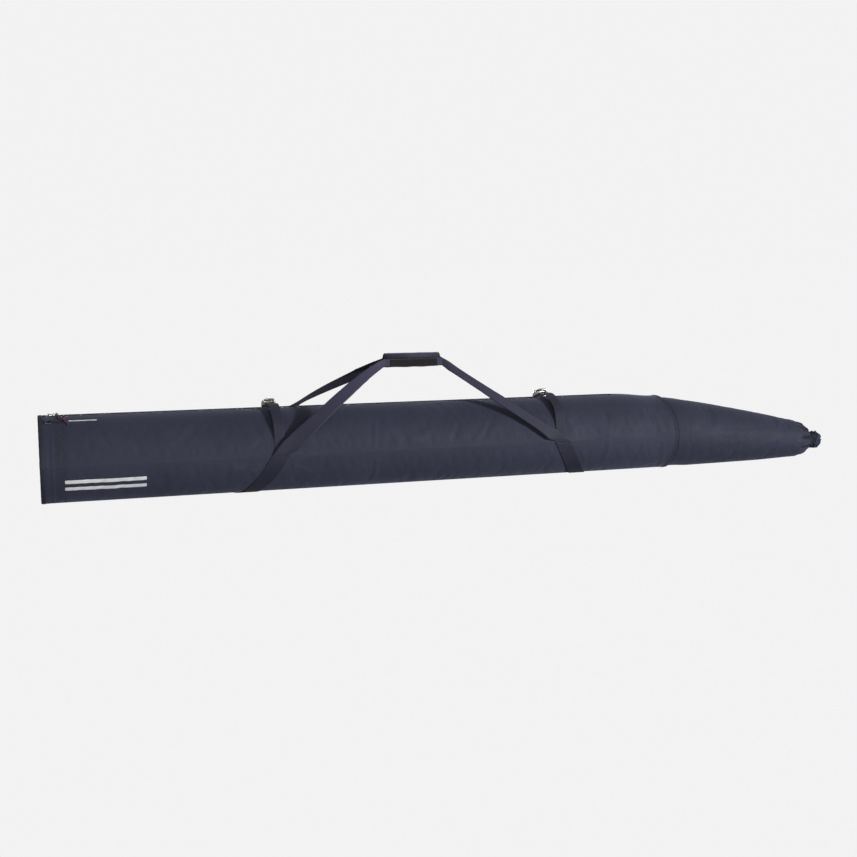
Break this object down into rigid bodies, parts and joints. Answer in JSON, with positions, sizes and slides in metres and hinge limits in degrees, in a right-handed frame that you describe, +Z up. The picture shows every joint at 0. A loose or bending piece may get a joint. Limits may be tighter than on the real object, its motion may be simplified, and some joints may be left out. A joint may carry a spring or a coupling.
{
  "type": "ski bag",
  "caption": "Long tubular ski bag with full-length zip, sliding tapered nose, twin-loop wrapped carry handle and two buckled compression straps.",
  "frame": {"origin": "on the ground, under the middle of the extended bag", "axes": "+X along the bag towards the sliding nose, +Y to the bag's back, +Z up"},
  "size_m": [2.1, 0.2417, 0.3229],
  "materials": {
    "shell_fabric": "closely woven coated polyester, dark slate navy, soft sheen",
    "binding_tape": "ribbed binding tape, near black",
    "zip_tape": "herringbone zip tape, navy",
    "zip_coil": "nylon coil, navy black",
    "wide_webbing": "ribbed woven webbing, navy",
    "narrow_webbing": "ribbed woven webbing, navy",
    "zip_metal": "tumbled nickel",
    "buckle_steel": "bright zinc-plated steel",
    "puller_cord": "braided cord, burgundy",
    "tie_cord": "braided cord, navy black",
    "hook_patch": "hook tape, brown black",
    "reflective_print": "pale reflective film, plain strips"
  },
  "bodies": {
    "body": {"base_panel": "shell_fabric", "top_front_panel": "shell_fabric", "top_back_panel": "shell_fabric", "end_panel": "shell_fabric", "end_binding": "binding_tape", "mouth_hem": "binding_tape", "zip_tape_front": "zip_tape", "zip_tape_back": "zip_tape", "zip_coil_front": "zip_coil", "zip_coil_back": "zip_coil", "zip_stops": "zip_metal", "lock_tab": "narrow_webbing", "band_left": "wide_webbing", "band_right": "wide_webbing", "strap_left_front": "narrow_webbing", "strap_left_back": "narrow_webbing", "strap_right_front": "narrow_webbing", "strap_right_back": "narrow_webbing", "buckle_left_frame": "buckle_steel", "buckle_left_pin": "buckle_steel", "buckle_left_spring": "buckle_steel", "buckle_right_frame": "buckle_steel", "buckle_right_pin": "buckle_steel", "buckle_right_spring": "buckle_steel", "side_stripes": "reflective_print", "zip_dash": "reflective_print"},
    "nose": {"nose_shell": "shell_fabric", "nose_stop_band": "binding_tape", "nose_tail": "shell_fabric", "nose_tie_cord": "tie_cord"},
    "slider": {"zip_slider": "zip_metal"},
    "pull": {"zip_pull_tab": "zip_metal", "zip_puller_cord": "puller_cord"},
    "lock_ring": {"lock_ring": "zip_metal"},
    "front_handle": {"handle_front_webbing": "wide_webbing", "grip_hook_patch": "hook_patch"},
    "back_handle": {"handle_back_webbing": "wide_webbing", "grip_wrap": "shell_fabric", "grip_core": "binding_tape"},
    "left_lever": {"buckle_left_lever": "buckle_steel"},
    "right_lever": {"buckle_right_lever": "buckle_steel"}
  },
  "joints": [
    {"name": "nose_slide", "type": "slide", "parent": "body", "child": "nose", "axis": [-1, 0, 0], "range_m": [0, 0.5]},
    {"name": "zip_slide", "type": "slide", "parent": "body", "child": "slider", "axis": [1, 0, 0], "range_m": [0, 1.388]},
    {"name": "pull_swing", "type": "hinge", "parent": "slider", "child": "pull", "pos_m": [-1.026, 0, 0.203], "axis": [0, -1, 0], "range_deg": [0, 150]},
    {"name": "lock_ring_swing", "type": "hinge", "parent": "body", "child": "lock_ring", "pos_m": [-1.022, -0.04607, 0.19146], "axis": [0, 0.8988, 0.4384], "range_deg": [0, 120]},
    {"name": "front_handle_swing", "type": "hinge", "parent": "body", "child": "front_handle", "pos_m": [-0.1535, -0.1061, 0.097], "axis": [1, 0, 0], "range_deg": [0, 135]},
    {"name": "back_handle_swing", "type": "hinge", "parent": "body", "child": "back_handle", "pos_m": [-0.1535, 0.1061, 0.097], "axis": [-1, 0, 0], "range_deg": [0, 135]},
    {"name": "left_lever_lift", "type": "hinge", "parent": "body", "child": "left_lever", "pos_m": [-0.515, 0.03999, 0.20713], "axis": [-1, 0, 0], "range_deg": [0, 60], "stiffness_Nm_per_rad": 0.02, "springref_deg": -17.19},
    {"name": "right_lever_lift", "type": "hinge", "parent": "body", "child": "right_lever", "pos_m": [0.203, 0.03999, 0.20713], "axis": [-1, 0, 0], "range_deg": [0, 60], "stiffness_Nm_per_rad": 0.02, "springref_deg": -17.19}
  ]
}
